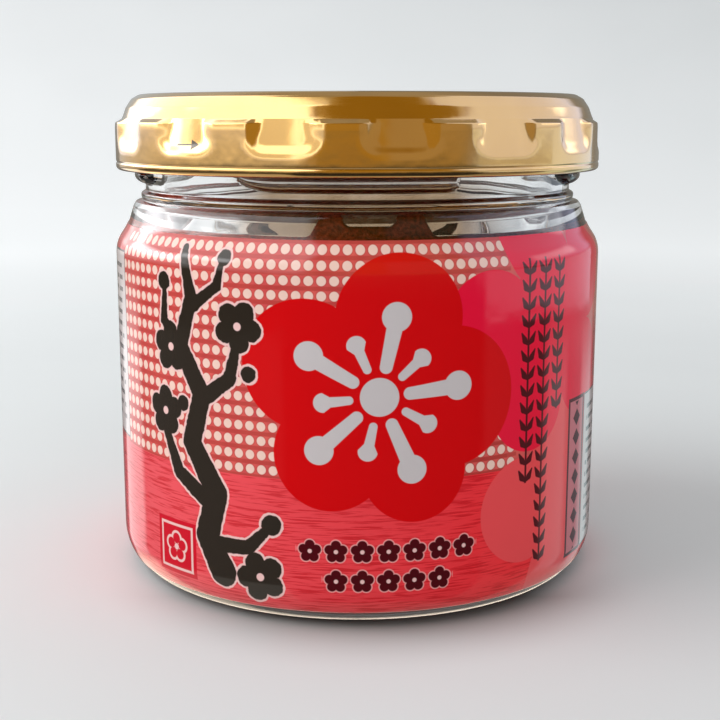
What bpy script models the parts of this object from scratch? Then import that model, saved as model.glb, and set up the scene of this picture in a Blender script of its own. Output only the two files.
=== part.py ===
"""A shut squat jar of mentaiko: a clear glass jar, a gold twist-off lid, a wrap label and the paste.

Lengths are millimetres here and metres in the meshes, +Z up. The origin is on the jar's axis at its
foot, and the middle of the label's front faces -Y. A point of a section is a radius and a height.
"""

import math
import random

import bmesh
import bpy

MM = 0.001
MERGE = 0.00001
TURN_STEPS = 48
FRONT = math.radians(-90.0)
SHARP_ANGLE = math.radians(35.0)

# Driving dimensions
BODY_RADIUS = 33.0
TOTAL_HEIGHT = 63.5
LID_RADIUS = 32.6
LID_FOOT_Z = 53.7
FIT_GAP = 0.3

# Glass, outside
LABEL_THICKNESS = 0.2
GLASS_RADIUS = BODY_RADIUS - LABEL_THICKNESS - FIT_GAP
NECK_RADIUS = 28.8
RIM_Z = TOTAL_HEIGHT - 1.2
RIM_ROUNDING = 0.6
BEAD_Z = 50.3
BEAD_SIZE = (0.6, 0.5)
BEAD_STEPS = 4
LEDGE = (30.05, 49.5)
CONE_TOP = (30.45, 49.0)
SHOULDER_Z = 42.8
SHOULDER_SIZE = (4.4, 4.4)
SHOULDER_ANGLE = 36.0
SHOULDER_STEPS = 3
HEEL_SIZE = (3.4, 5.3)
HEEL_STEPS = 5
FOOT_INNER_RADIUS = 26.0
PUSH_UP = 0.6

# Glass, inside
WALL = 2.6
MOUTH_RADIUS = 26.4
MOUTH_FOOT_Z = 50.8
INNER_CONE_TOP = (27.1, 48.0)
INNER_SHOULDER_Z = 41.6
INNER_SHOULDER = 6.0
INNER_SHOULDER_ANGLE = 40.0
INNER_SHOULDER_STEPS = 2
INNER_HEEL = 5.0
INNER_HEEL_STEPS = 3
FLOOR_Z = 3.6

# Thread lugs on the neck
LUG_COUNT = 4
LUG_SPAN = (-31.0, 23.0)
LUG_RADIUS = 1.1
LUG_CENTRE_RADIUS = 29.1
LUG_Z = 53.05
LUG_RISE = 1.3
LUG_POINTS = 9
LUG_LEFT_POINTS = 2
LUG_LEFT_SIZE = 0.45
LUG_RIGHT_SIZE = 0.6

# Label
LABEL_TOP_Z = 46.65
LABEL_FOOT_Z = 1.8

# Lid, from the middle of its top outwards and down
LID_THICKNESS = 0.4
BUTTON_RADIUS = 11.0
BUTTON_SLOPE = 0.8
BUTTON_STEP = 0.3
BUTTON_DISH = 0.1
TOP_PANEL_Z = TOTAL_HEIGHT - 0.45
RING_RADIUS = 28.6
RING_SIDE = (0.75, 0.08)
RING_ROOT = 1.9
COLLAR_CORNER = (30.0, 63.2)
COLLAR_TOP = (30.3, 62.85)
COLLAR_MIDDLE = (31.1, 61.8)
COLLAR_FOOT = (31.63, 60.6)
LEDGE_EDGE = (32.45, 59.9)
SKIRT_TOP_Z = 59.6
SKIRT_MIDDLE_Z = 57.8
PANEL_FOOT_Z = 55.9
PANEL_EDGES_Z = (56.4, 55.8)
GROOVE_Z = 54.7
GROOVE_SIZE = (0.1, 0.18)
CURL = ((0.2, 0.5), (0.75, 0.0), (1.4, 0.25), (1.55, 0.9))

# Pressed panels in the lid's skirt
PANEL_COUNT = 15
PANEL_FIRST = 8.8
PANEL_HALF_ANGLE = 8.5
PANEL_FLOOR_HALF_ANGLE = 4.0
PANEL_COLUMNS = (-PANEL_HALF_ANGLE, -3.75, 3.75, PANEL_HALF_ANGLE, 12.0)
PANEL_FOOT_DEPTH = 0.12

# Mentaiko
FILL_Z = 49.0
FILL_RADIUS = 26.5
ROE_RINGS = 5
ROE_EDGE = 0.1
ROE_RELIEF = 0.45
ROE_SEED = 7


def new_material(name, colour, roughness, metallic=0.0, transmission=0.0):
    """A plain Principled material."""
    material = bpy.data.materials.new(name)
    material.use_nodes = True
    shader = material.node_tree.nodes["Principled BSDF"]
    shader.inputs["Base Color"].default_value = (*colour, 1.0)
    shader.inputs["Roughness"].default_value = roughness
    shader.inputs["Metallic"].default_value = metallic
    shader.inputs["Transmission Weight"].default_value = transmission
    return material


def new_object(name, mesh, material, collection):
    """An object for a mesh, in a collection and with one material."""
    thing = bpy.data.objects.new(name, mesh)
    collection.objects.link(thing)
    if material:
        thing.data.materials.append(material)
    return thing


def arc(centre, size, start, end, steps):
    """Points along an ellipse's arc, between two angles in degrees."""
    points = []
    for step in range(steps + 1):
        angle = math.radians(start + (end - start) * step / steps)
        points.append(
            (centre[0] + size[0] * math.cos(angle), centre[1] + size[1] * math.sin(angle))
        )
    return points


def section_mesh(name, section, closed=False):
    """A mesh of edges along a section, at +X."""
    mesh = bpy.data.meshes.new(name)
    verts = [(radius * MM, 0.0, height * MM) for radius, height in section]
    edges = [(index, index + 1) for index in range(len(section) - 1)]
    if closed:
        edges.append((len(section) - 1, 0))
    mesh.from_pydata(verts, edges, [])
    return mesh


def turned(name, section, material, collection, closed=False):
    """A solid of revolution: a section with a Screw modifier."""
    thing = new_object(name, section_mesh(name, section, closed), material, collection)
    screw = thing.modifiers.new("Turn", "SCREW")
    screw.axis = "Z"
    screw.angle = math.tau
    screw.steps = TURN_STEPS
    screw.render_steps = TURN_STEPS
    screw.use_merge_vertices = True
    screw.merge_threshold = MERGE
    return thing


def spun(section, steps):
    """A surface of revolution that can still be reshaped, as mesh data."""
    surface = bmesh.new()
    surface.from_mesh(section_mesh("section", section))
    bmesh.ops.spin(
        surface,
        geom=[*surface.verts, *surface.edges],
        axis=(0.0, 0.0, 1.0),
        cent=(0.0, 0.0, 0.0),
        angle=math.tau,
        steps=steps,
        use_merge=True,
    )
    bmesh.ops.remove_doubles(surface, verts=surface.verts, dist=MERGE)
    return surface


def finished(name, surface):
    """A smooth-shaded mesh from mesh data."""
    mesh = bpy.data.meshes.new(name)
    surface.to_mesh(mesh)
    surface.free()
    mesh.shade_smooth()
    mesh.set_sharp_from_angle(angle=SHARP_ANGLE)
    return mesh


def shoulder_and_wall():
    """The glass's outside from the foot of the cone down to the foot ring, top to bottom."""
    shoulder_centre = (GLASS_RADIUS - SHOULDER_SIZE[0], SHOULDER_Z)
    heel_centre = (GLASS_RADIUS - HEEL_SIZE[0], HEEL_SIZE[1])
    return [
        *arc(shoulder_centre, SHOULDER_SIZE, SHOULDER_ANGLE, 0.0, SHOULDER_STEPS),
        *arc(heel_centre, HEEL_SIZE, 0.0, -90.0, HEEL_STEPS),
    ]


def glass_section():
    """The whole section of the glass, from the middle of its floor over the rim to its base."""
    inner_radius = GLASS_RADIUS - WALL
    heel_centre = (inner_radius - INNER_HEEL, FLOOR_Z + INNER_HEEL)
    heel = (INNER_HEEL, INNER_HEEL)
    shoulder_centre = (inner_radius - INNER_SHOULDER, INNER_SHOULDER_Z)
    shoulder = (INNER_SHOULDER, INNER_SHOULDER)
    return [
        (0.0, FLOOR_Z),
        *arc(heel_centre, heel, -90.0, 0.0, INNER_HEEL_STEPS),
        *arc(shoulder_centre, shoulder, 0.0, INNER_SHOULDER_ANGLE, INNER_SHOULDER_STEPS),
        INNER_CONE_TOP,
        (MOUTH_RADIUS, MOUTH_FOOT_Z),
        (MOUTH_RADIUS, RIM_Z - RIM_ROUNDING),
        (MOUTH_RADIUS + RIM_ROUNDING, RIM_Z),
        (NECK_RADIUS - RIM_ROUNDING, RIM_Z),
        (NECK_RADIUS, RIM_Z - RIM_ROUNDING),
        *arc((NECK_RADIUS, BEAD_Z), BEAD_SIZE, 90.0, -90.0, BEAD_STEPS),
        LEDGE,
        CONE_TOP,
        *shoulder_and_wall(),
        (FOOT_INNER_RADIUS, 0.0),
        (FOOT_INNER_RADIUS - PUSH_UP, PUSH_UP),
        (0.0, PUSH_UP),
    ]


def lug_path(middle):
    """Points and sizes along a thread lug, which tapers up at its left and ends round at its right."""
    points = []
    last = LUG_POINTS - 1
    for index in range(LUG_POINTS):
        turn = LUG_SPAN[0] + (LUG_SPAN[1] - LUG_SPAN[0]) * index / last
        angle = middle + math.radians(turn)
        from_left = min(index / LUG_LEFT_POINTS, 1.0)
        from_right = min(last - index, 1)
        left_size = LUG_LEFT_SIZE + (1.0 - LUG_LEFT_SIZE) * from_left
        right_size = LUG_RIGHT_SIZE + (1.0 - LUG_RIGHT_SIZE) * from_right
        points.append(
            (
                LUG_CENTRE_RADIUS * math.cos(angle) * MM,
                LUG_CENTRE_RADIUS * math.sin(angle) * MM,
                (LUG_Z + LUG_RISE * (1.0 - from_left)) * MM,
                min(left_size, right_size),
            )
        )
    return points


def thread_lugs(collection):
    """The four lugs as one mesh of closed tubes, each with its caps welded on."""
    curve = bpy.data.curves.new("lug_paths", "CURVE")
    curve.dimensions = "3D"
    curve.bevel_depth = LUG_RADIUS * MM
    curve.bevel_resolution = 2
    curve.use_fill_caps = True
    for lug in range(LUG_COUNT):
        spline = curve.splines.new("POLY")
        spline.points.add(LUG_POINTS - 1)
        path = lug_path(FRONT + math.tau * lug / LUG_COUNT)
        for point, (x, y, z, size) in zip(spline.points, path):
            point.co = (x, y, z, 1.0)
            point.radius = size
    guide = new_object("lug_paths", curve, None, collection)
    depsgraph = bpy.context.evaluated_depsgraph_get()
    mesh = bpy.data.meshes.new_from_object(guide.evaluated_get(depsgraph))
    bpy.data.objects.remove(guide)
    welded = bmesh.new()
    welded.from_mesh(mesh)
    bmesh.ops.remove_doubles(welded, verts=welded.verts, dist=MERGE)
    welded.to_mesh(mesh)
    welded.free()
    lugs = new_object("thread_lugs", mesh, None, collection)
    lugs.hide_render = True
    lugs.display_type = "WIRE"
    return lugs


def make_glass(collection, cutters):
    """The jar: a turned shell with the thread lugs joined to its neck."""
    material = new_material("clear_glass", (0.93, 0.96, 0.95), 0.03, transmission=1.0)
    jar = turned("glass_jar", glass_section(), material, collection)
    union = jar.modifiers.new("Lugs", "BOOLEAN")
    union.operation = "UNION"
    union.solver = "EXACT"
    union.object = thread_lugs(cutters)
    return jar


def between(section, low, high):
    """The part of a falling section between two heights, cut off level at both."""
    points = []
    for (r_0, z_0), (r_1, z_1) in zip(section, section[1:]):
        for cut in (high, low):
            if z_1 < cut < z_0:
                points.append((r_0 + (r_1 - r_0) * (cut - z_0) / (z_1 - z_0), cut))
        if low < z_1 < high:
            points.append((r_1, z_1))
    return sorted(points, key=lambda point: -point[1])


def make_label(collection):
    """A thin closed skin round the glass, from the shoulder to the heel."""
    material = new_material("printed_film", (0.86, 0.16, 0.18), 0.3)
    backed = between([CONE_TOP, *shoulder_and_wall()], LABEL_FOOT_Z, LABEL_TOP_Z)
    inner = [(radius + FIT_GAP, height) for radius, height in backed]
    outer = [(radius + FIT_GAP + LABEL_THICKNESS, height) for radius, height in backed]
    return turned("label", [*reversed(inner), *outer], material, collection, closed=True)


def make_mentaiko(collection):
    """The paste: it follows the glass's inside and has an uneven, grainy top."""
    material = new_material("cod_roe_paste", (0.30, 0.05, 0.03), 0.35)
    radius = GLASS_RADIUS - WALL - FIT_GAP
    heel = INNER_HEEL - FIT_GAP
    heel_centre = (radius - heel, FLOOR_Z + INNER_HEEL)
    shoulder = INNER_SHOULDER - FIT_GAP
    shoulder_centre = (radius - shoulder, INNER_SHOULDER_Z)
    angle = INNER_SHOULDER_ANGLE
    section = [
        *((FILL_RADIUS * ring / ROE_RINGS, FILL_Z) for ring in range(ROE_RINGS)),
        (FILL_RADIUS, FILL_Z - ROE_EDGE),
        *arc(shoulder_centre, (shoulder, shoulder), angle, 0.0, INNER_SHOULDER_STEPS),
        *arc(heel_centre, (heel, heel), 0.0, -90.0, INNER_HEEL_STEPS),
        (0.0, FLOOR_Z + FIT_GAP),
    ]
    paste = spun(section, TURN_STEPS)
    draw = random.Random(ROE_SEED)
    for vertex in paste.verts:
        if vertex.co.z > (FILL_Z - ROE_EDGE / 2.0) * MM:
            vertex.co.z -= ROE_RELIEF * draw.random() * MM
    bmesh.ops.recalc_face_normals(paste, faces=paste.faces)
    return new_object("mentaiko", finished("mentaiko", paste), material, collection)


def lid_section():
    """The lid's outside where it has no panel, from the middle of its top to the rolled hem."""
    groove_depth, groove_rise = GROOVE_SIZE
    return [
        (0.0, TOP_PANEL_Z - BUTTON_STEP - BUTTON_DISH),
        (BUTTON_RADIUS, TOP_PANEL_Z - BUTTON_STEP),
        (BUTTON_RADIUS + BUTTON_SLOPE, TOP_PANEL_Z),
        (RING_RADIUS - RING_ROOT, TOP_PANEL_Z),
        (RING_RADIUS - RING_SIDE[0], TOTAL_HEIGHT - RING_SIDE[1]),
        (RING_RADIUS, TOTAL_HEIGHT),
        (RING_RADIUS + RING_SIDE[0], TOTAL_HEIGHT - RING_SIDE[1]),
        COLLAR_CORNER,
        COLLAR_TOP,
        COLLAR_MIDDLE,
        COLLAR_FOOT,
        LEDGE_EDGE,
        (LID_RADIUS, SKIRT_TOP_Z),
        (LID_RADIUS, SKIRT_MIDDLE_Z),
        *((LID_RADIUS, height) for height in PANEL_EDGES_Z),
        (LID_RADIUS, GROOVE_Z + groove_rise),
        (LID_RADIUS - groove_depth, GROOVE_Z),
        (LID_RADIUS, GROOVE_Z - groove_rise),
        *((LID_RADIUS - inward, LID_FOOT_Z + up) for inward, up in CURL),
    ]


def panel_depth(from_middle, height):
    """How far a pressed panel lies inside the skirt, at an angle from its middle in degrees."""
    if not PANEL_FOOT_Z < height < COLLAR_FOOT[1]:
        return 0.0
    rise = (height - PANEL_FOOT_Z) / (COLLAR_FOOT[1] - PANEL_FOOT_Z)
    full = PANEL_FOOT_DEPTH + (LID_RADIUS - COLLAR_FOOT[0] - PANEL_FOOT_DEPTH) * rise
    wall = (PANEL_HALF_ANGLE - abs(from_middle)) / (PANEL_HALF_ANGLE - PANEL_FLOOR_HALF_ANGLE)
    return full * min(max(wall, 0.0), 1.0)


def make_lid(collection):
    """The lid: a turned sheet with a ring of pressed panels in its skirt, thickened inwards."""
    material = new_material("gold_lacquer", (0.72, 0.50, 0.16), 0.22, metallic=1.0)
    columns = []
    for panel in range(PANEL_COUNT):
        middle = PANEL_FIRST + 360.0 * panel / PANEL_COUNT
        columns.extend((middle, column) for column in PANEL_COLUMNS)
    sheet = spun(lid_section(), len(columns))
    for vertex in sheet.verts:
        radius = math.hypot(vertex.co.x, vertex.co.y)
        turn = math.atan2(vertex.co.y, vertex.co.x) / math.tau
        middle, column = columns[round(turn * len(columns)) % len(columns)]
        depth = panel_depth(column, vertex.co.z / MM)
        if depth > 0.0:
            radius = min(radius, (LID_RADIUS - depth) * MM)
        angle = FRONT + math.radians(middle + column)
        vertex.co.x = radius * math.cos(angle)
        vertex.co.y = radius * math.sin(angle)
    lid = new_object("lid", finished("lid", sheet), material, collection)
    shell = lid.modifiers.new("Sheet", "SOLIDIFY")
    shell.thickness = LID_THICKNESS * MM
    shell.offset = -1.0
    shell.use_even_offset = True
    return lid


def main():
    for thing in list(bpy.data.objects):
        bpy.data.objects.remove(thing)
    jar = bpy.data.collections.new("jar_of_mentaiko")
    cutters = bpy.data.collections.new("cutters")
    bpy.context.scene.collection.children.link(jar)
    bpy.context.scene.collection.children.link(cutters)
    make_glass(jar, cutters)
    make_label(jar)
    make_mentaiko(jar)
    make_lid(jar)


main()
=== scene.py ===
"""The looks of a shut squat jar of mentaiko: clear glass, gold lid, printed wrap label and paste.

Sizes are millimetres until a mesh is made, and every mesh is in metres. A point of a section is a radius
and a height, and a corner has the size of its rounding besides. A turn is an angle in degrees to the
right of the front. A place on the label is how far it lies to the right along the wall, and its height.
A texture's scale is its number of lumps to the millimetre.
"""

import math

import bmesh
import bpy
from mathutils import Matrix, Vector, noise


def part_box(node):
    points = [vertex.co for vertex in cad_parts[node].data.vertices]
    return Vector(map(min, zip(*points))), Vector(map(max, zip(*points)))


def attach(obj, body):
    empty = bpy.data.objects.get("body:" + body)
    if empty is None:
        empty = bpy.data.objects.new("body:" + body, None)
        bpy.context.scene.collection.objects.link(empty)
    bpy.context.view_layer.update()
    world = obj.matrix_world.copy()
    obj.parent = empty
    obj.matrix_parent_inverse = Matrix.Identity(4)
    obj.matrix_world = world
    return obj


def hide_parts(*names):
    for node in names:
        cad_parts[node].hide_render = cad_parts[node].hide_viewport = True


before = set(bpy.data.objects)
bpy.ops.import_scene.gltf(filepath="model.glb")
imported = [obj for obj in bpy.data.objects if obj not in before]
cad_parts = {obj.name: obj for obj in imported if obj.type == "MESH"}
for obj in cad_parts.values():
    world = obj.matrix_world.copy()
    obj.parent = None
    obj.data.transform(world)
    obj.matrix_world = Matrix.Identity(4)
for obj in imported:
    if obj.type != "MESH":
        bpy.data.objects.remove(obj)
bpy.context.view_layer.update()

MM = 0.001

# Driving dimensions, from the frame
BODY_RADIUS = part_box("label")[1].x / MM
LABEL_FOOT_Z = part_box("label")[0].z / MM
LABEL_TOP_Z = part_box("label")[1].z / MM
TOTAL_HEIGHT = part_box("lid")[1].z / MM
LID_FOOT_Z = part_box("lid")[0].z / MM
CAD_GLASS_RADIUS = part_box("glass_jar")[1].x / MM
RIM_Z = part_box("glass_jar")[1].z / MM
PASTE_FOOT_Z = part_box("mentaiko")[0].z / MM
LID_INSET = 0.4
LID_RADIUS = BODY_RADIUS - LID_INSET

# Label film
LABEL_COLUMNS = 480
FILM = 0.1
SUNK = 0.06
OVERLAP = 0.05
OVERLAP_TURNS = (-180.0, -174.0)
FILM_WAVES = (0.25, 0.02)

# Glass, outside
GLASS_COLUMNS = 360
WALL_RADIUS = BODY_RADIUS - OVERLAP - FILM
NECK_RADIUS = 28.8
NECK_ROW = 0.12
BEAD_RADIUS = 29.4
BEAD_TOP_Z = 51.0
BEAD_FOOT_Z = 49.75
LEDGE = (30.1, 49.5)
CONE_TOP = (30.45, 49.0)
CONE_FOOT = (31.25, 46.5)
CONE_ROUNDING = 5.0
SHOULDER_CORNER_Z = 44.05
SHOULDER_ROUNDING = 4.4
SHOULDER_STEPS = 10
HEEL_SIZE = (3.8, 5.3)
HEEL_STEPS = 18
FOOT_INNER_RADIUS = 26.0
PUSH_UP = 0.6

# Glass, inside
GLASS_WALL = 2.6
CAD_CLEARANCE = 0.3
INNER_RADIUS = CAD_GLASS_RADIUS - GLASS_WALL
MOUTH_RADIUS = 26.4
MOUTH_FOOT_Z = 50.8
INNER_CONE_TOP = (27.1, 48.0)
INNER_SHOULDER_Z = 41.6
INNER_SHOULDER = 6.0
INNER_SHOULDER_ANGLE = 40.0
INNER_HEEL = 5.0
INNER_STEPS = 10
FLOOR_Z = PASTE_FOOT_Z - CAD_CLEARANCE

# Glass finish: its waves as a scale and a depth, and the oil film on the neck's front
GLASS_COLOUR = (0.996, 1.0, 0.998, 1.0)
GLASS_WAVES = (0.14, 0.06)
OIL_THICK = (0.37, 0.245, 0.145, 1.0)
OIL_THIN = (0.48, 0.345, 0.235, 1.0)
OIL_STREAKS = (0.12, 0.15)
OIL_TURNS = (-29.0, 32.0)
OIL_EDGE = 7.0
OIL_FOOT = (46.0, 46.5)
OIL_FADE = (51.5, 55.5)

# Thread lugs on the neck
LUG_COUNT = 4
LUG_FOOT_Z = 51.93
LUG_TOP_Z = 54.17
LUG_PROUD = 1.4
LUG_LEFT = (-29.5, -18.6)
LUG_RIGHT = 23.5
LUG_ZONE = (51.4, 55.0)
LUG_THINNEST = 0.02
LUG_TAPER = 2.5
LUG_FULLNESS = 0.55

# Lid
LID_SHEET = 0.25
PANEL_COUNT = 15
PANEL_FIRST = 8.8
PANEL_COLUMNS = 27
PANEL_HALF_WIDTH = 4.85
PANEL_WALL = 2.4
PANEL_FOOT_Z = 55.8
PANEL_FOOT_WALL = 1.5
PANEL_CORNER = 2.6
PANEL_FOOT_DEPTH = 0.12
PANEL_MARGIN = 0.4
FLAT_Z = TOTAL_HEIGHT - 0.45
COLLAR_FOOT = (31.63, 60.6)
COLLAR_END = (31.5, 60.7)
SKIRT_TOP_Z = 59.2
SKIRT_ROW = 0.22
GROOVE_Z = 54.75
GROOVE_HALF = 0.2
GROOVE_DEPTH = 0.12
GOLD_LIGHT = (0.80, 0.48, 0.14, 1.0)
GOLD_DEEP = (0.74, 0.43, 0.12, 1.0)
GOLD_PATCHES = 0.12
GOLD_WAVES = (0.2, 0.09)
ARROW_TURNS = (-41.4, -34.9)
ARROW_Z = 57.35
ARROW_LINE = 0.2
ARROW_HEAD = (1.3, 0.6)
ARROW_EDGE = 0.04

# Mentaiko
PASTE_COLUMNS = 360
OPEN_Z = 46.4
SMEAR_Z = 48.9
SMEAR_FOOT_Z = 43.6
SMEARS = [((-10.5, 17.5), 0.5), ((-9.5, -3.4), 0.5), ((9.3, 16.6), 0.5)]
SMEAR_EDGE = 1.3
SMEAR_REACH = 2.2
INTO_WALL = 0.06
ROE_RING = 0.6
ROE_RELIEF = 0.35
ROE_LUMPS = [(1.6, 0.6), (0.35, 0.9)]
ROE_GRAIN = (2.2, 0.35)
ROE_DARK = (0.21, 0.013, 0.005, 1.0)
ROE_LIGHT = (0.66, 0.085, 0.035, 1.0)

# Corners of the glass's section
MOUTH = [
    (*INNER_CONE_TOP, 2.0),
    (MOUTH_RADIUS, MOUTH_FOOT_Z, 2.0),
    (MOUTH_RADIUS, RIM_Z - 1.0, 0.0),
]
RIM = [
    (MOUTH_RADIUS, RIM_Z - 1.0, 0.0),
    (MOUTH_RADIUS, RIM_Z, 0.6),
    (NECK_RADIUS, RIM_Z, 0.6),
    (NECK_RADIUS, LUG_ZONE[1], 0.0),
]
BEAD = [
    (NECK_RADIUS, LUG_ZONE[0], 0.0),
    (NECK_RADIUS, BEAD_TOP_Z, 0.2),
    (BEAD_RADIUS, BEAD_TOP_Z - 0.35, 0.3),
    (BEAD_RADIUS, BEAD_FOOT_Z + 0.35, 0.25),
    (BEAD_RADIUS - 0.45, BEAD_FOOT_Z, 0.2),
    (*LEDGE, 0.12),
    (*CONE_TOP, 0.3),
    (*CONE_FOOT, 0.0),
]
BASE = [
    (WALL_RADIUS - HEEL_SIZE[0], 0.0, 0.0),
    (FOOT_INNER_RADIUS, 0.0, 0.6),
    (FOOT_INNER_RADIUS - 1.0, PUSH_UP, 0.8),
    (0.0, PUSH_UP, 0.0),
]

# Corners of the lid's section
LID_TOP = [
    (0.0, TOTAL_HEIGHT - 0.85, 0.0),
    (10.6, TOTAL_HEIGHT - 0.75, 1.0),
    (11.8, FLAT_Z, 1.0),
    (26.6, FLAT_Z, 0.8),
    (27.8, TOTAL_HEIGHT, 0.9),
    (29.3, TOTAL_HEIGHT, 1.4),
    (30.35, 62.9, 0.8),
    (31.1, 61.8, 1.2),
    (*COLLAR_END, 0.0),
]
LID_LEDGE = [
    (*COLLAR_END, 0.0),
    (31.68, 60.35, 0.25),
    (32.55, 59.85, 0.25),
    (LID_RADIUS, SKIRT_TOP_Z, 0.0),
]
HEM = [
    (LID_RADIUS, PANEL_FOOT_Z - PANEL_MARGIN, 0.0),
    (LID_RADIUS, GROOVE_Z + GROOVE_HALF, 0.1),
    (LID_RADIUS - GROOVE_DEPTH, GROOVE_Z, 0.1),
    (LID_RADIUS, GROOVE_Z - GROOVE_HALF, 0.1),
    (LID_RADIUS, LID_FOOT_Z, 0.55),
    (LID_RADIUS - 1.3, LID_FOOT_Z, 0.55),
    (LID_RADIUS - 1.35, LID_FOOT_Z + 1.1, 0.0),
]

# Where noise turns from one colour to the other
SOFT_PATCHES = (0.3, 0.7)
CLEAR_PATCHES = (0.35, 0.65)
ROE_SPECKS = (0.35, 0.7)
CREASE_LINES = (0.49, 0.61)

# Print on the label, as places along the wall and heights: ink and blossoms in general
INK_EDGE = 0.05
LABEL_MOTTLE = 0.5
PETALS = 5
BLOSSOM_HEART = 0.6
UPRIGHT = 90.0

# Print: dotted ground and crepe paper
DOT_FIRST = (-7.15, 45.64)
DOT_PITCH = (1.5, 1.752)
DOT_RADIUS = 0.57
DOT_ROW_HALF = 0.78
DOT_FIELDS = [
    ((-102.4, 18.48), (-90.4, 60.0)),
    ((-37.9, 18.48), (19.1, 60.0)),
    ((10.1, 18.48), (20.6, 21.99)),
    ((44.6, 27.24), (103.1, 60.0)),
]
CREPE = ((-200.0, -10.0), (200.0, 18.45))
CREPE_REDDER = (-30.0, 20.0)
CREPE_PALER = (60.0, 100.0)
CREASES = (0.25, 0.25, 4.6)

# Print: large blossoms, with each disc's place and radius, and the red one's stamens
SALMON_DISCS = [
    (22.3, 12.9, 6.8), (30.0, 3.0, 6.8), (41.8, 7.3, 6.8),
    (41.4, 19.8, 6.8), (29.3, 23.3, 6.8), (32.95, 13.25, 8.7),
]
MAGENTA_DISCS = [
    (16.7, 36.7, 6.3), (23.0, 26.5, 6.3), (35.1, 29.2, 6.3),
    (36.3, 41.6, 6.3), (24.9, 46.5, 6.3), (27.2, 36.2, 8.5),
]
RED_DISCS = [
    (5.0, 37.75, 7.6), (-6.2, 32.3, 7.8), (-3.15, 21.7, 6.9),
    (6.85, 19.7, 6.35), (11.2, 28.3, 8.5), (2.5, 28.5, 7.6),
]
STAMEN_CENTRE = (2.6, 28.6)
STAMEN_FIRST = 78.0
STAMEN_EYE = 2.3
LONG_STAMEN = [(3.6, 0.0, 0.75), (8.4, 0.0, 0.95)]
LONG_KNOB = ((9.6, 0.0), 1.75)
SHORT_STAMEN = [(2.9, 2.1, 0.5), (4.7, 3.4, 0.6), (5.4, 3.9, 1.15)]

# Print: twig, with each stroke's points and half widths, buds, and blossoms with their first turn
TWIG = [
    [(-17.2, 5.8, 1.9), (-19.6, 10.0, 1.75), (-18.0, 15.6, 1.65), (-21.8, 21.6, 1.5), (-20.0, 27.6, 1.4)],
    [(-20.0, 27.6, 1.4), (-23.4, 33.4, 1.25), (-21.4, 39.4, 1.0), (-22.8, 45.2, 0.5)],
    [(-18.6, 14.0, 1.2), (-24.2, 17.4, 1.0), (-26.6, 22.5, 0.7)],
    [(-20.6, 26.6, 1.1), (-15.8, 30.0, 0.9), (-14.8, 34.0, 0.6)],
    [(-22.8, 32.0, 1.0), (-26.4, 36.2, 0.75), (-26.2, 40.2, 0.45)],
    [(-21.8, 38.0, 0.9), (-17.4, 41.0, 0.65), (-16.6, 44.0, 0.35)],
    [(-19.0, 9.2, 1.1), (-13.6, 9.4, 0.9), (-11.0, 12.0, 0.6)],
]
TWIG_BUDS = [
    (-26.3, 41.0, 1.15), (-16.4, 44.4, 0.95), (-13.2, 30.8, 1.0), (-10.5, 12.6, 1.3), (-23.2, 26.2, 1.0),
]
TWIG_BLOSSOMS = [(-26.6, 24.8, 90.0), (-14.6, 36.4, 60.0), (-25.2, 33.0, 20.0), (-12.0, 5.9, 40.0)]
TWIG_PETALS = (1.85, 1.35)
TWIG_EYE = 0.5
TWIG_HALO = 0.28
BRUSH_SCALE = 1.4
BRUSH_RAGGED = 0.35

# Print: seal
SEAL = ((-28.8, 3.8), (-21.5, 11.0))
SEAL_FRAME_INSET = 0.75
SEAL_FRAME_HALF = 0.17
SEAL_PETALS = (1.1, 0.85)
SEAL_PETALS_HALF = 0.16
SEAL_EYE = 0.4

# Print: leafy stems and rows of small blossoms
STEM_FIRST = (25.3, 6.57)
STEM_PITCH = (2.9, 2.14)
STEM_HALF = 0.17
STEM_LEAF = [(0.0, -0.8, 0.2), (0.62, -0.3, 0.44), (1.15, 0.6, 0.12)]
STEM_BOXES = [
    ((20.95, 16.2), (23.85, 44.02)),
    ((23.85, 5.5), (26.75, 44.02)),
    ((26.75, 24.76), (29.65, 44.02)),
]
ROW_FIRST = (-5.7, 9.8)
ROW_PITCH = (3.15, 3.7)
ROW_PETALS = (0.82, 0.6)
ROW_EYE = 0.26
ROW_HALO = 0.14
ROW_BOXES = [((-7.27, 8.0), (14.77, 11.6)), ((-4.12, 4.3), (11.62, 7.9))]

# Print: strip of diamonds, and side panels with plain rules
STRIP = ((31.8, 4.3), (36.6, 25.0))
STRIP_LINE_HALF = 0.24
DIAMOND_FIRST = ((STRIP[0][0] + STRIP[1][0]) / 2.0, STRIP[0][1] + 2.3)
DIAMOND_PITCH = (STRIP[1][0] - STRIP[0][0], 2.65)
DIAMOND_HALF = 1.15
DIAMOND_MARGIN = 0.4
PANELS = [((-90.0, 19.1), (-37.7, 43.6)), ((37.1, 4.3), (72.0, 25.0))]
PANEL_LINE_HALF = 0.12
RULE_TILE = (6.0, 1.55)
RULE_HALF = 0.3
RULE_TOP_GAP = 2.0
RULE_MARGIN = 1.4
WORD_SCALE = 0.9
WORD_STEP = 5.1
WORD_GAPS = 0.42
WORD_SHARPNESS = 4.0

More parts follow.
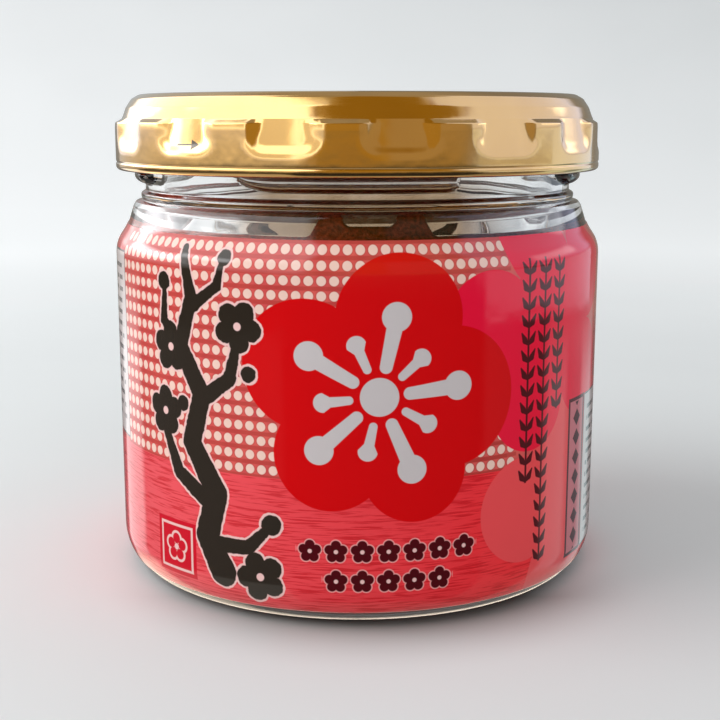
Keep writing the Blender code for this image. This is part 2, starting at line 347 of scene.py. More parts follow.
# Lights that only the finishes mirror: turns, rises above level, softness and colour
MIRRORED_BASE = (0.25, 0.24, 0.21, 1.0)
MIRRORED = [
    # Ceiling, and the room at the left
    ((-181.0, 181.0), (48.0, 91.0), 6.0, (0.38, 0.34, 0.26, 1.0)),
    ((-181.0, -142.0), (2.0, 48.0), 4.0, (0.48, 0.50, 0.50, 1.0)),
    ((-150.0, -22.0), (3.0, 66.0), 3.0, (2.4, 2.4, 2.4, 1.0)),
    # Walls and windows at the left
    ((-84.0, -58.0), (6.0, 18.0), 1.5, (1.10, 1.05, 0.98, 1.0)),
    ((-58.0, -30.0), (6.0, 26.0), 1.5, (1.00, 0.95, 0.85, 1.0)),
    ((-135.0, -92.0), (9.0, 19.0), 2.5, (8.5, 8.5, 8.7, 1.0)),
    ((-95.0, -62.0), (19.0, 27.0), 2.5, (6.5, 6.5, 6.6, 1.0)),
    # Far edge of the table at the left
    ((-150.0, -18.0), (-1.3, 2.5), 0.6, (1.10, 1.08, 1.12, 1.0)),
    ((-150.0, -18.0), (-4.0, -1.3), 0.6, (0.66, 0.62, 0.54, 1.0)),
    ((-120.0, -18.0), (-9.0, -4.0), 0.6, (0.03, 0.03, 0.03, 1.0)),
    # Room, window and far edge of the table at the right
    ((55.0, 142.0), (3.0, 66.0), 3.0, (0.90, 0.96, 1.25, 1.0)),
    ((90.0, 124.0), (9.0, 20.0), 2.5, (2.3, 2.4, 2.7, 1.0)),
    ((55.0, 142.0), (-7.9, 3.0), 0.25, (0.88, 0.98, 1.12, 1.0)),
    ((50.0, 100.0), (-3.5, -1.2), 0.5, (0.48, 0.46, 0.44, 1.0)),
    ((20.0, 142.0), (-8.8, -7.9), 0.25, (0.03, 0.03, 0.03, 1.0)),
    # The camera's side
    ((-24.0, 50.0), (-4.0, 88.0), 4.0, (0.45, 0.29, 0.06, 1.0)),
    ((14.0, 50.0), (-1.5, 88.0), 1.5, (0.46, 0.35, 0.18, 1.0)),
    ((-24.0, 60.0), (34.0, 91.0), 4.0, (0.32, 0.19, 0.02, 1.0)),
    # Table
    ((-181.0, 181.0), (-91.0, -24.0), 2.0, (0.62, 0.59, 0.54, 1.0)),
    ((-181.0, 181.0), (-24.0, -8.8), 0.4, (0.14, 0.13, 0.13, 1.0)),
    ((98.0, 150.0), (-30.0, -8.8), 3.0, (0.68, 0.86, 0.88, 1.0)),
    ((116.0, 133.0), (-30.0, -8.8), 2.0, (0.28, 0.36, 0.38, 1.0)),
    ((-60.0, 45.0), (-91.0, -50.0), 3.0, (0.40, 0.37, 0.32, 1.0)),
    ((40.0, 98.0), (-60.0, -22.0), 2.0, (0.30, 0.28, 0.25, 1.0)),
    ((-34.0, 60.0), (-52.0, -5.0), 1.5, (0.03, 0.03, 0.03, 1.0)),
    ((-150.0, -124.0), (-24.0, -8.0), 2.0, (1.4, 1.4, 1.4, 1.0)),
    # Bright table behind the jar
    ((-181.0, -120.0), (-60.0, -26.0), 3.0, (2.1, 1.8, 1.45, 1.0)),
    ((158.0, 181.0), (-60.0, -26.0), 3.0, (2.1, 1.8, 1.45, 1.0)),
]
AMBIENT = (0.62, 0.62, 0.63, 1.0)

# Key light, with its sides and the point that it faces
KEY_PLACE = (-300.0, -80.0, 300.0)
KEY_AIM = (0.0, 0.0, 30.0)
KEY_SIDE = 300.0
KEY_POWER = 0.9

# Camera, which looks along +Y and down
CAMERA_PLACE = (0.0, -177.7, 60.6)
CAMERA_DOWN = 10.78
CAMERA_LENS = 63.92
CAMERA_SHIFT = 0.00375
CAMERA_NEAR = 10.0

# Studio
NEAR_FLOOR = 330.0
FAR_FLOOR = 700.0
CURVE = 600.0
CURVE_STEPS = 24
WALL_TOP = 2000.0
STUDIO_COLUMNS = 96
FLOOR_PALE = (0.75, 0.785, 0.785, 1.0)
FLOOR_PALEST = (0.78, 0.815, 0.815, 1.0)
FLOOR_MOTTLE = 0.01
# Painted shadow on the floor before the jar's foot: its colour, middle, reach and front edge
SHADE_COLOUR = (0.25, 0.235, 0.22, 1.0)
SHADE_CENTRE = (2.0, -7.0, 0.0)
SHADE_REACH = (24.0, 39.0)
SHADE_FRONT = (-9.0, -22.0)
GLOW_START = 60.0
GLOW_END = 430.0
BACKDROP_GLOW = 0.34
GLOW_ACROSS = -0.00027
GLOW_UP = -0.0006
GLOW_COLOUR = (0.98, 0.99, 1.0, 1.0)

FRONT = math.radians(-90.0)
FULL = 2.0 * math.pi
STRAIGHT = math.radians(89.5)
ON_AXIS = 0.001
NEARLY = 0.01


def arc(centre, size, start, end, steps):
    """Points along an ellipse's arc, between two angles in degrees."""
    points = []
    for step in range(steps + 1):
        angle = math.radians(start + (end - start) * step / steps)
        points.append(
            (centre[0] + size[0] * math.cos(angle), centre[1] + size[1] * math.sin(angle))
        )
    return points


def rounded(corners, steps=6):
    """A section through corners of (radius, height, rounding), each rounded by an arc."""
    points = [corners[0][:2]]
    for before, corner, after in zip(corners, corners[1:], corners[2:]):
        here = Vector(corner[:2])
        to_before = (Vector(before[:2]) - here).normalized()
        to_after = (Vector(after[:2]) - here).normalized()
        size = corner[2]
        half = to_before.angle(to_after) / 2.0
        if size == 0.0 or half > STRAIGHT:
            points.append(corner[:2])
            continue
        centre = here + (to_before + to_after).normalized() * (size / math.sin(half))
        start = here + to_before * (size / math.tan(half)) - centre
        end = here + to_after * (size / math.tan(half)) - centre
        first = math.atan2(start.y, start.x)
        turn = (math.atan2(end.y, end.x) - first + math.pi) % FULL - math.pi
        points.extend(
            arc(centre, (size, size), math.degrees(first), math.degrees(first + turn), steps)
        )
    points.append(corners[-1][:2])
    return points


def evened(section, gap):
    """The section with points added, so that none lie further apart than a gap."""
    points = [section[0]]
    for (r_0, z_0), (r_1, z_1) in zip(section, section[1:]):
        count = max(1, math.ceil(math.hypot(r_1 - r_0, z_1 - z_0) / gap))
        for step in range(1, count + 1):
            part = step / count
            points.append((r_0 + (r_1 - r_0) * part, z_0 + (z_1 - z_0) * part))
    return points


def between(section, low, high):
    """The stretch of a section that falls from one height to another."""
    points = []
    for (r_0, z_0), (r_1, z_1) in zip(section, section[1:]):
        for level in (high, low):
            if z_1 < level <= z_0:
                points.append((r_0 + (r_1 - r_0) * (z_0 - level) / (z_0 - z_1), level))
        if low < z_1 < high:
            points.append((r_1, z_1))
    return points


def smooth(low, high, value):
    """0 below low, 1 above high and an even S between them."""
    part = max(0.0, min(1.0, (value - low) / (high - low)))
    return part * part * (3.0 - 2.0 * part)


def revolve(name, section, columns, reshape=None, closed=False):
    """A mesh turned from a section that falls along its outside. Reshape may move each point."""
    surface = bmesh.new()
    rings = []
    for radius, height in section:
        if radius < ON_AXIS:
            rings.append([surface.verts.new((0.0, 0.0, height * MM))] * columns)
            continue
        ring = []
        for column in range(columns):
            turn = 360.0 * column / columns - 180.0
            r, z = reshape(turn, radius, height) if reshape else (radius, height)
            angle = FRONT + math.radians(turn)
            ring.append(
                surface.verts.new((r * math.cos(angle) * MM, r * math.sin(angle) * MM, z * MM))
            )
        rings.append(ring)
    pairs = list(zip(rings, rings[1:]))
    if closed:
        pairs.append((rings[-1], rings[0]))
    for upper, lower in pairs:
        for column in range(columns):
            after = (column + 1) % columns
            corners = [upper[column], lower[column], lower[after], upper[after]]
            surface.faces.new(list(dict.fromkeys(corners)))
    mesh = bpy.data.meshes.new(name)
    surface.to_mesh(mesh)
    surface.free()
    mesh.shade_smooth()
    return mesh


def new_piece(name, mesh, material, node):
    """A visible piece that stands for a CAD node and takes the finish it is given."""
    piece = bpy.data.objects.new(name, mesh)
    bpy.context.scene.collection.objects.link(piece)
    mesh.materials.append(material)
    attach(piece, "root")
    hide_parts(node)
    return piece


class Value:
    """What a shader node gives out. Arithmetic on it adds more nodes."""

    def __init__(self, socket):
        self.socket = socket
        self.tree = socket.id_data

    def math(self, operation, *others, clamp=False):
        """A Math node on this number and others."""
        node = self.tree.nodes.new("ShaderNodeMath")
        node.operation = operation
        node.use_clamp = clamp
        fill(node.inputs, self, *others)
        return Value(node.outputs[0])

    def vector(self, operation, *others):
        """A Vector Math node on this vector and others."""
        node = self.tree.nodes.new("ShaderNodeVectorMath")
        node.operation = operation
        fill(node.inputs, self, *others)
        gives = "Value" if operation in ("DOT_PRODUCT", "LENGTH", "DISTANCE") else "Vector"
        return Value(node.outputs[gives])

    def parts(self):
        """The three numbers of this vector."""
        node = self.tree.nodes.new("ShaderNodeSeparateXYZ")
        fill(node.inputs, self)
        return [Value(output) for output in node.outputs]

    def size(self):
        """This number without its sign."""
        return self.math("ABSOLUTE")

    def __add__(self, other):
        return self.math("ADD", other)

    def __sub__(self, other):
        return self.math("SUBTRACT", other)

    def __mul__(self, other):
        return self.math("MULTIPLY", other)

    def __neg__(self):
        return self.math("MULTIPLY", -1.0)


def fill(sockets, *values):
    """Sets or joins a node's inputs, in order."""
    for socket, value in zip(sockets, values):
        if isinstance(value, Value):
            value.tree.links.new(value.socket, socket)
        elif value is not None:
            socket.default_value = value


def vector_of(*numbers):
    """A vector of two or three numbers."""
    node = numbers[0].tree.nodes.new("ShaderNodeCombineXYZ")
    fill(node.inputs, *numbers)
    return Value(node.outputs[0])


def ramp(value, low, high):
    """0 where a value is at low or beyond, and 1 where it is at high or beyond."""
    return value.math("MULTIPLY_ADD", 1.0 / (high - low), -low / (high - low), clamp=True)


def within(value, span, edge):
    """1 where a value lies in a span, and 0 well outside it."""
    rise = ramp(value, span[0] - edge, span[0] + edge)
    return rise * ramp(value, span[1] + edge, span[1] - edge)


def layered(cover, under, over):
    """One colour over another where cover is 1."""
    node = cover.tree.nodes.new("ShaderNodeMix")
    node.data_type = "RGBA"
    fill((node.inputs[0], node.inputs[6], node.inputs[7]), cover, under, over)
    return Value(node.outputs[2])


def cloud(place, scale, detail=2.0):
    """Even noise from 0 to 1, with about as many lumps to the millimetre as scale."""
    node = place.tree.nodes.new("ShaderNodeTexNoise")
    node.inputs["Scale"].default_value = scale
    node.inputs["Detail"].default_value = detail
    fill((node.inputs["Vector"],), place)
    return Value(node.outputs["Fac"])


def paint(red, green, blue):
    """A colour as a screen shows it, from 0 to 255, made linear."""
    linear = []
    for part in (red, green, blue):
        share = part / 255.0
        linear.append(share / 12.92 if share < 0.04045 else ((share + 0.055) / 1.055) ** 2.4)
    return (*linear, 1.0)


INKS = {
    "coral": paint(232, 100, 92),
    "coral deep": paint(218, 84, 84),
    "coral line": paint(186, 58, 52),
    "cream": paint(253, 215, 200),
    "crepe left": paint(246, 94, 102),
    "crepe right": paint(255, 52, 60),
    "crease": paint(206, 16, 28),
    "salmon": paint(248, 82, 86),
    "magenta": paint(248, 20, 60),
    "red": paint(224, 8, 14),
    "white": paint(214, 206, 206),
    "halo": paint(250, 205, 200),
    "ink": paint(48, 40, 32),
    "seal": paint(216, 18, 42),
    "plum": paint(84, 14, 22),
    "pale pink": paint(212, 120, 128),
    "frame": paint(92, 10, 22),
    "panel": paint(226, 214, 212),
    "rule": paint(120, 112, 112),
    "arrow": paint(98, 86, 72),
}


def new_material(name, roughness):
    """A material, its Principled shader, and places on the object in millimetres."""
    material = bpy.data.materials.new(name)
    material.use_nodes = True
    shader = material.node_tree.nodes["Principled BSDF"]
    shader.inputs["Roughness"].default_value = roughness
    coordinates = material.node_tree.nodes.new("ShaderNodeTexCoord")
    place = Value(coordinates.outputs["Object"]).vector("SCALE", None, None, 1.0 / MM)
    return material, shader, place


def emboss(shader, height, depth):
    """Gives a shader a relief, of heights from 0 to 1 and a depth in millimetres."""
    node = shader.id_data.nodes.new("ShaderNodeBump")
    node.inputs["Strength"].default_value = 1.0
    node.inputs["Distance"].default_value = depth * MM
    fill((node.inputs["Height"],), height)
    fill((shader.inputs["Normal"],), Value(node.outputs["Normal"]))


class Design:
    """A flat drawing's places. Each outline gives its distance, which is negative inside it."""

    def __init__(self, across, up):
        self.across = across
        self.up = up
        self.point = vector_of(across, up)

    def disc(self, centre, radius):
        """A round spot."""
        return self.point.vector("DISTANCE", (*centre, 0.0)) - radius

    def box(self, low, high):
        """An upright oblong between two corners."""
        across = (self.across - (low[0] + high[0]) / 2.0).size() - (high[0] - low[0]) / 2.0
        up = (self.up - (low[1] + high[1]) / 2.0).size() - (high[1] - low[1]) / 2.0
        return across.math("MAXIMUM", up)

    def stroke(self, *points):
        """A brush stroke through points of (across, up, half width)."""
        nearest = None
        for (s_0, z_0, half_0), (s_1, z_1, half_1) in zip(points, points[1:]):
            step = Vector((s_1 - s_0, z_1 - z_0, 0.0))
            start = self.point.vector("SUBTRACT", (s_0, z_0, 0.0))
            along = start.vector("DOT_PRODUCT", step / step.length_squared)
            along = along.math("ADD", 0.0, clamp=True)
            aside = along.vector("MULTIPLY_ADD", -step, start).vector("LENGTH")
            distance = aside - along.math("MULTIPLY_ADD", half_1 - half_0, half_0)
            nearest = distance if nearest is None else nearest.math("MINIMUM", distance)
        return nearest

    def folded(self, centre, count, first):
        """The design of one of several equal sectors round a centre, with its middle along its across."""
        off = self.point.vector("SUBTRACT", (*centre, 0.0))
        across, up, _ = off.parts()
        turn = up.math("ARCTAN2", across) - math.radians(first)
        turn = turn - (turn * (count / FULL)).math("ROUND") * (FULL / count)
        far = off.vector("LENGTH")
        return Design(turn.math("COSINE") * far, turn.math("SINE") * far)

    def tiled(self, centre, pitch):
        """The design of one of many equal tiles, whose middle is its own 0."""
        across = self.across - centre[0]
        up = self.up - centre[1]
        across = across - (across * (1.0 / pitch[0])).math("ROUND") * pitch[0]
        up = up - (up * (1.0 / pitch[1])).math("ROUND") * pitch[1]
        return Design(across, up)

    def blossom(self, centre, ring, radius, first):
        """Five round petals that meet over their middle."""
        petal = self.folded(centre, PETALS, first).disc((ring, 0.0), radius)
        return petal.math("MINIMUM", self.disc(centre, ring * BLOSSOM_HEART))


def body_section(inside):
    """The body's outside, or a skin inside it, from the cone's top down to the foot ring."""
    skin = FILM - inside
    wall = WALL_RADIUS + skin
    shoulder = rounded(
        [
            (CONE_TOP[0] + skin, CONE_TOP[1], 0.0),
            (CONE_FOOT[0] + skin, CONE_FOOT[1], CONE_ROUNDING),
            (wall, SHOULDER_CORNER_Z, SHOULDER_ROUNDING),
            (wall, HEEL_SIZE[1], 0.0),
        ],
        steps=SHOULDER_STEPS,
    )
    heel = arc((wall - HEEL_SIZE[0], HEEL_SIZE[1]), HEEL_SIZE, 0.0, -90.0, HEEL_STEPS)
    return [*shoulder[:-1], *heel]


def inner_section():
    """The glass's inside, from the middle of its floor to its mouth's top."""
    centre = (INNER_RADIUS - INNER_HEEL, FLOOR_Z + INNER_HEEL)
    heel = arc(centre, (INNER_HEEL, INNER_HEEL), -90.0, 0.0, INNER_STEPS)
    centre = (INNER_RADIUS - INNER_SHOULDER, INNER_SHOULDER_Z)
    size = (INNER_SHOULDER, INNER_SHOULDER)
    shoulder = arc(centre, size, 0.0, INNER_SHOULDER_ANGLE, INNER_STEPS)
    mouth = rounded([(*shoulder[-1], 0.0), *MOUTH])
    return [(0.0, FLOOR_Z), *heel, *shoulder, *mouth[1:]]


def glass_section():
    """The whole section of the glass, from the middle of its floor over the rim to its base."""
    rim = rounded(RIM)[1:-1]
    neck = evened([(NECK_RADIUS, LUG_ZONE[1]), (NECK_RADIUS, LUG_ZONE[0])], NECK_ROW)
    bead = rounded(BEAD)[1:-1]
    body = body_section(FILM)[1:]
    base = rounded(BASE)[1:]
    return [*inner_section(), *rim, *neck, *bead, *body, *base]


def lug_swell(turn, height):
    """How far a thread lug stands out of the neck."""
    quarter = 360.0 / LUG_COUNT
    turn = (turn + quarter / 2.0) % quarter - quarter / 2.0
    foot = LUG_FOOT_Z
    if turn < LUG_LEFT[1]:
        along = min(1.0, (LUG_LEFT[1] - turn) / (LUG_LEFT[1] - LUG_LEFT[0]))
        foot = LUG_TOP_Z - (LUG_TOP_Z - LUG_FOOT_Z) * math.sqrt(1.0 - along * along)
    half = (LUG_TOP_Z - foot) / 2.0
    if half < LUG_THINNEST:
        return 0.0
    past_end = math.radians(turn - LUG_RIGHT) * NECK_RADIUS + half
    off = math.hypot(height - foot - half, max(0.0, past_end)) / half
    share = min(1.0, half / (LUG_TOP_Z - LUG_FOOT_Z) * LUG_TAPER)
    return LUG_PROUD * share * max(0.0, 1.0 - off * off) ** LUG_FULLNESS


def neck_shape(turn, radius, height):
    """Pushes the thread lugs out of the neck's outside."""
    if abs(radius - NECK_RADIUS) < NEARLY and LUG_ZONE[0] < height < LUG_ZONE[1]:
        radius += lug_swell(turn, height)
    return radius, height


def glass_material():
    """Clear soda glass, a little wavy, with a thin film of the paste's oil on the front of its neck."""
    material, shader, place = new_material("clear_glass", 0.0)
    x, y, z = place.parts()
    turn = x.math("ARCTAN2", -y) * math.degrees(1.0)
    streaked = vector_of(turn * OIL_STREAKS[0], z * OIL_STREAKS[1])
    streaks = ramp(cloud(streaked, 1.0), *SOFT_PATCHES)
    film = within(turn, OIL_TURNS, OIL_EDGE) * ramp(z, *OIL_FOOT)
    film = film * ramp(z, OIL_FADE[1], OIL_FADE[0])
    oil = layered(streaks, OIL_THICK, OIL_THIN)
    fill((shader.inputs["Base Color"],), layered(film, GLASS_COLOUR, oil))
    shader.inputs["Transmission Weight"].default_value = 1.0
    shader.inputs["IOR"].default_value = 1.51
    emboss(shader, cloud(place, GLASS_WAVES[0], detail=1.0), GLASS_WAVES[1])
    return material


def make_glass():
    """The jar: one thick closed shell with four thread lugs, which casts no shadow on the paste."""
    mesh = revolve("glass", glass_section(), GLASS_COLUMNS, neck_shape)
    piece = new_piece("glass", mesh, glass_material(), "glass_jar")
    piece.visible_shadow = False


def radius_at(section, height):
    """The radius at which a section that falls along its outside has a height."""
    for (r_0, z_0), (r_1, z_1) in zip(section, section[1:]):
        if z_1 < z_0 and z_1 <= height <= z_0:
            return r_0 + (r_1 - r_0) * (z_0 - height) / (z_0 - z_1)


def paste_wall():
    """The paste's side, which lies a little in the glass, from the mouth down to the floor."""
    wall = []
    section = inner_section()
    for before, here, after in zip(section, section[1:], section[2:]):
        run = Vector(after) - Vector(before)
        out = Vector((run.y, -run.x)).normalized() * INTO_WALL
        wall.append((here[0] + out.x, here[1] + out.y))
    wall.reverse()
    return wall


def paste_shape(wall):
    """Shapes the open surface into grains of roe, and smears its edge up the front of the glass."""
    rim = radius_at(wall, OPEN_Z)

    def shape(turn, radius, height):
        smear = 0.0
        for (start, end), part in SMEARS:
            smear += part * smooth(start - SMEAR_EDGE, start + SMEAR_EDGE, turn)
            smear -= part * smooth(end - SMEAR_EDGE, end + SMEAR_EDGE, turn)
        share = max(0.0, height - SMEAR_FOOT_Z) / (OPEN_Z - SMEAR_FOOT_Z)
        if height > OPEN_Z - NEARLY:
            share = smooth(rim - SMEAR_REACH, rim, radius)
            angle = math.radians(turn)
            point = Vector((radius * math.sin(angle), radius * math.cos(angle), 0.0))
            lump = sum(noise.noise(point * scale) * size for scale, size in ROE_LUMPS)
            height += min(1.0, lump) * ROE_RELIEF * (1.0 - share)
        if share > 0.0:
            height += (SMEAR_Z - OPEN_Z) * smear * share
            radius = min(radius, radius_at(wall, height))
        return radius, height

    return shape


def paste_section(wall):
    """The paste's section from the middle of its top to that of its floor."""
    side = between(wall, FLOOR_Z - INTO_WALL, OPEN_Z)
    top = evened([(0.0, OPEN_Z), side[0]], ROE_RING)
    return [*top, *evened(side, ROE_RING)[1:], (0.0, FLOOR_Z - INTO_WALL)]


def paste_material():
    """Moist dark red paste with the grain of fine roe."""
    material, shader, place = new_material("roe_paste", 0.32)
    grain = cloud(place, ROE_GRAIN[0], detail=3.0)
    fill((shader.inputs["Base Color"],), layered(ramp(grain, *ROE_SPECKS), ROE_DARK, ROE_LIGHT))
    shader.inputs["Coat Weight"].default_value = 0.5
    shader.inputs["Coat Roughness"].default_value = 0.1
    emboss(shader, grain, ROE_GRAIN[1])
    return material


def make_mentaiko():
    """The paste, which fills the glass to its shoulder."""
    wall = paste_wall()
    mesh = revolve("mentaiko_paste", paste_section(wall), PASTE_COLUMNS, paste_shape(wall))
    new_piece("mentaiko_paste", mesh, paste_material(), "mentaiko")


def lid_section():
    """The lid's outside where it has no panel, from the middle of its top to the rolled hem."""
    top = rounded(LID_TOP)[:-1]
    ledge = rounded(LID_LEDGE)[:-1]
    skirt_foot_z = PANEL_FOOT_Z - PANEL_MARGIN
    skirt = evened([(LID_RADIUS, SKIRT_TOP_Z), (LID_RADIUS, skirt_foot_z)], SKIRT_ROW)[:-1]
    return [*top, *ledge, *skirt, *rounded(HEM)]


def panel_share(aside, height):
    """0 outside a pressed panel and 1 on its floor, from a place aside of its middle."""
    low = smooth(PANEL_FOOT_Z, COLLAR_FOOT[1], height)
    across = abs(aside) - (PANEL_HALF_WIDTH - PANEL_CORNER)
    down = PANEL_FOOT_Z + PANEL_CORNER - height
    inside = PANEL_CORNER - math.hypot(max(across, 0.0), max(down, 0.0))
    inside -= min(max(across, down), 0.0)
    wall = PANEL_FOOT_WALL + (PANEL_WALL - PANEL_FOOT_WALL) * low
    return smooth(0.0, wall, inside)


def lid_shape(turn, radius, height):
    """Presses the panels into the lid's skirt."""
    if radius < COLLAR_FOOT[0] or not PANEL_FOOT_Z <= height <= COLLAR_FOOT[1] + PANEL_MARGIN:
        return radius, height
    pitch = 360.0 / PANEL_COUNT
    from_middle = (turn - PANEL_FIRST + pitch / 2.0) % pitch - pitch / 2.0
    rise = (height - PANEL_FOOT_Z) / (COLLAR_FOOT[1] - PANEL_FOOT_Z)
    depth = PANEL_FOOT_DEPTH + (LID_RADIUS - COLLAR_FOOT[0] - PANEL_FOOT_DEPTH) * rise
    floor = LID_RADIUS - depth
    share = panel_share(math.radians(from_middle) * LID_RADIUS, height)
    return radius - max(0.0, radius - floor) * share, height


def lid_material():
    """Gold lacquer on tinplate, a little uneven, with a plain arrow printed on the skirt."""
    material, shader, place = new_material("gold_lacquer", 0.14)
    x, y, z = place.parts()
    skirt = Design(x.math("ARCTAN2", -y) * LID_RADIUS, z)
    start, tip = (math.radians(turn) * LID_RADIUS for turn in ARROW_TURNS)
    length, half = ARROW_HEAD
    half_line = ARROW_LINE / 2.0
    shaft = skirt.box((start, ARROW_Z - half_line), (tip - length / 2.0, ARROW_Z + half_line))
    point = skirt.stroke((tip - length, ARROW_Z, half), (tip, ARROW_Z, 0.0))
    point = point.math("MAXIMUM", -(skirt.across - (tip - length)))
    arrow = ramp(shaft.math("MINIMUM", point), ARROW_EDGE, -ARROW_EDGE)
    gold = layered(ramp(cloud(place, GOLD_PATCHES), *CLEAR_PATCHES), GOLD_LIGHT, GOLD_DEEP)
    fill((shader.inputs["Base Color"],), layered(arrow, gold, INKS["arrow"]))
    bare = arrow.math("MULTIPLY_ADD", -1.0, 1.0)
    fill((shader.inputs["Metallic"], shader.inputs["Coat Weight"]), bare, bare)
    shader.inputs["Coat Roughness"].default_value = 0.06
    shader.inputs["Coat IOR"].default_value = 1.75
    emboss(shader, cloud(place, GOLD_WAVES[0], detail=2.5), GOLD_WAVES[1])
    return material


def make_lid():
    """The lid: pressed sheet with a rolled hem."""
    mesh = revolve("twist_lid", lid_section(), PANEL_COUNT * PANEL_COLUMNS, lid_shape)
    piece = new_piece("twist_lid", mesh, lid_material(), "lid")
    sheet = piece.modifiers.new("sheet", "SOLIDIFY")
    sheet.thickness = LID_SHEET * MM
    sheet.offset = -1.0


def film_shape(turn, radius, height):
    """Swells the film where one end lies over the other."""
    start, end = OVERLAP_TURNS
    if start <= turn < end:
        radius += OVERLAP
    return radius, height


def label_material():
    """Glossy printed film."""
    material, shader, place = new_material("printed_film", 0.07)
    x, y, z = place.parts()
    design = Design(x.math("ARCTAN2", -y) * BODY_RADIUS, z)
    fill((shader.inputs["Base Color"],), printed(design, place))
    emboss(shader, cloud(place, FILM_WAVES[0]), FILM_WAVES[1])
    return material


class Print:
    """Layers of ink, each laid where the distance to its outline is negative."""

    def __init__(self, ground):
        self.colour = ground

    def lay(self, distance, ink, spread=0.0, strength=1.0):
        """Inks an outline, with its edge moved out by spread."""
        cover = ramp(distance, spread + INK_EDGE, spread - INK_EDGE) * strength
        self.colour = layered(cover, self.colour, ink)


def joined(distances):
    """The outline round several shapes."""
    nearest = distances[0]
    for distance in distances[1:]:
        nearest = nearest.math("MINIMUM", distance)
    return nearest


def lay_grounds(sheet, design, place):
    """The dotted ground above and the crepe paper ground with fine level creases below."""
    tile = design.tiled(DOT_FIRST, DOT_PITCH)
    dots = tile.disc((0.0, 0.0), DOT_RADIUS)
    gaps = -(tile.up.size() - DOT_ROW_HALF)
    for low, high in DOT_FIELDS:
        field = design.box(low, high)
        sheet.lay(gaps.math("MAXIMUM", field), INKS["coral line"], spread=0.15, strength=0.6)
        dotted = dots.math("MAXIMUM", field)
        sheet.lay(dotted, INKS["coral line"], spread=0.1, strength=0.5)
        sheet.lay(dotted, INKS["cream"])
    crepe = design.box(*CREPE)
    redder = ramp(design.across, *CREPE_REDDER) * ramp(design.across, CREPE_PALER[1], CREPE_PALER[0])
    sheet.lay(crepe, layered(redder, INKS["crepe left"], INKS["crepe right"]))
    creases = ramp(cloud(place.vector("MULTIPLY", CREASES), 1.0, detail=3.0), *CREASE_LINES)
    sheet.lay(crepe, INKS["crease"], strength=creases * 0.65)


def lay_blossoms(sheet, design):
    """Salmon, magenta and red plum blossoms, and white stamens on the red one."""
    for discs, ink in ((SALMON_DISCS, "salmon"), (MAGENTA_DISCS, "magenta"), (RED_DISCS, "red")):
        sheet.lay(joined([design.disc(centre, radius) for *centre, radius in discs]), INKS[ink])
    petal = design.folded(STAMEN_CENTRE, PETALS, STAMEN_FIRST)
    half = Design(petal.across, petal.up.size())
    stamens = [half.stroke(*LONG_STAMEN), half.disc(*LONG_KNOB), half.stroke(*SHORT_STAMEN)]
    sheet.lay(joined([*stamens, design.disc(STAMEN_CENTRE, STAMEN_EYE)]), INKS["white"])


def lay_twig(sheet, design, place):
    """A plum twig drawn with a brush, with a pale rim."""
    strokes = [design.stroke(*points) for points in TWIG]
    strokes += [design.disc(centre, radius) for *centre, radius in TWIG_BUDS]
    strokes += [design.blossom(centre, *TWIG_PETALS, first) for *centre, first in TWIG_BLOSSOMS]
    ragged = (cloud(place, BRUSH_SCALE) - 0.5) * BRUSH_RAGGED
    outline = joined(strokes) + ragged
    sheet.lay(outline, INKS["halo"], spread=TWIG_HALO)
    sheet.lay(outline, INKS["ink"])
    sheet.lay(joined([design.disc(centre, TWIG_EYE) for *centre, _ in TWIG_BLOSSOMS]), INKS["halo"])


def lay_seal(sheet, design):
    """A plain red square with a pale frame and blossom."""
    low, high = SEAL
    middle = ((low[0] + high[0]) / 2.0, (low[1] + high[1]) / 2.0)
    sheet.lay(design.box(low, high), INKS["seal"])
    frame_line = (design.box(low, high) + SEAL_FRAME_INSET).size() - SEAL_FRAME_HALF
    flower = design.blossom(middle, *SEAL_PETALS, UPRIGHT).size() - SEAL_PETALS_HALF
    sheet.lay(joined([frame_line, flower, design.disc(middle, SEAL_EYE)]), INKS["halo"])


def lay_ornaments(sheet, design):
    """Leafy stems down the right, and two rows of small blossoms below."""
    tile = design.tiled(STEM_FIRST, STEM_PITCH)
    half = Design(tile.across.size(), tile.up)
    sprig = half.stroke(*STEM_LEAF).math("MINIMUM", tile.across.size() - STEM_HALF)
    for low, high in STEM_BOXES:
        sheet.lay(sprig.math("MAXIMUM", design.box(low, high)), INKS["plum"])
    tile = design.tiled(ROW_FIRST, ROW_PITCH)
    flower = tile.blossom((0.0, 0.0), *ROW_PETALS, UPRIGHT)
    eye = tile.disc((0.0, 0.0), ROW_EYE)
    for low, high in ROW_BOXES:
        row = design.box(low, high)
        small = flower.math("MAXIMUM", row)
        sheet.lay(small, INKS["halo"], spread=ROW_HALO, strength=0.6)
        sheet.lay(small, INKS["plum"])
        sheet.lay(eye.math("MAXIMUM", row), INKS["halo"])


def lay_panels(sheet, design):
    """Pale panels at the sides, with plain rules, and a framed strip of diamonds."""
    strip = design.box(*STRIP)
    sheet.lay(strip, INKS["pale pink"])
    sheet.lay(strip.size() - STRIP_LINE_HALF, INKS["frame"])
    tile = design.tiled(DIAMOND_FIRST, DIAMOND_PITCH)
    diamond = tile.across.size() + tile.up.size() - DIAMOND_HALF
    sheet.lay(diamond.math("MAXIMUM", strip + DIAMOND_MARGIN), INKS["plum"])
    row = (design.up * (1.0 / RULE_TILE[1])).math("ROUND")
    words = cloud(vector_of(design.across * WORD_SCALE, row * WORD_STEP), 1.0)
    gaps = (words - WORD_GAPS) * -WORD_SHARPNESS
    for low, high in PANELS:
        panel = design.box(low, high)
        sheet.lay(panel, INKS["panel"])
        sheet.lay(panel.size() - PANEL_LINE_HALF, INKS["rule"])
        rules = design.tiled((0.0, high[1] - RULE_TOP_GAP), RULE_TILE)
        line = (rules.up.size() - RULE_HALF).math("MAXIMUM", gaps)
        sheet.lay(line.math("MAXIMUM", panel + RULE_MARGIN), INKS["rule"])


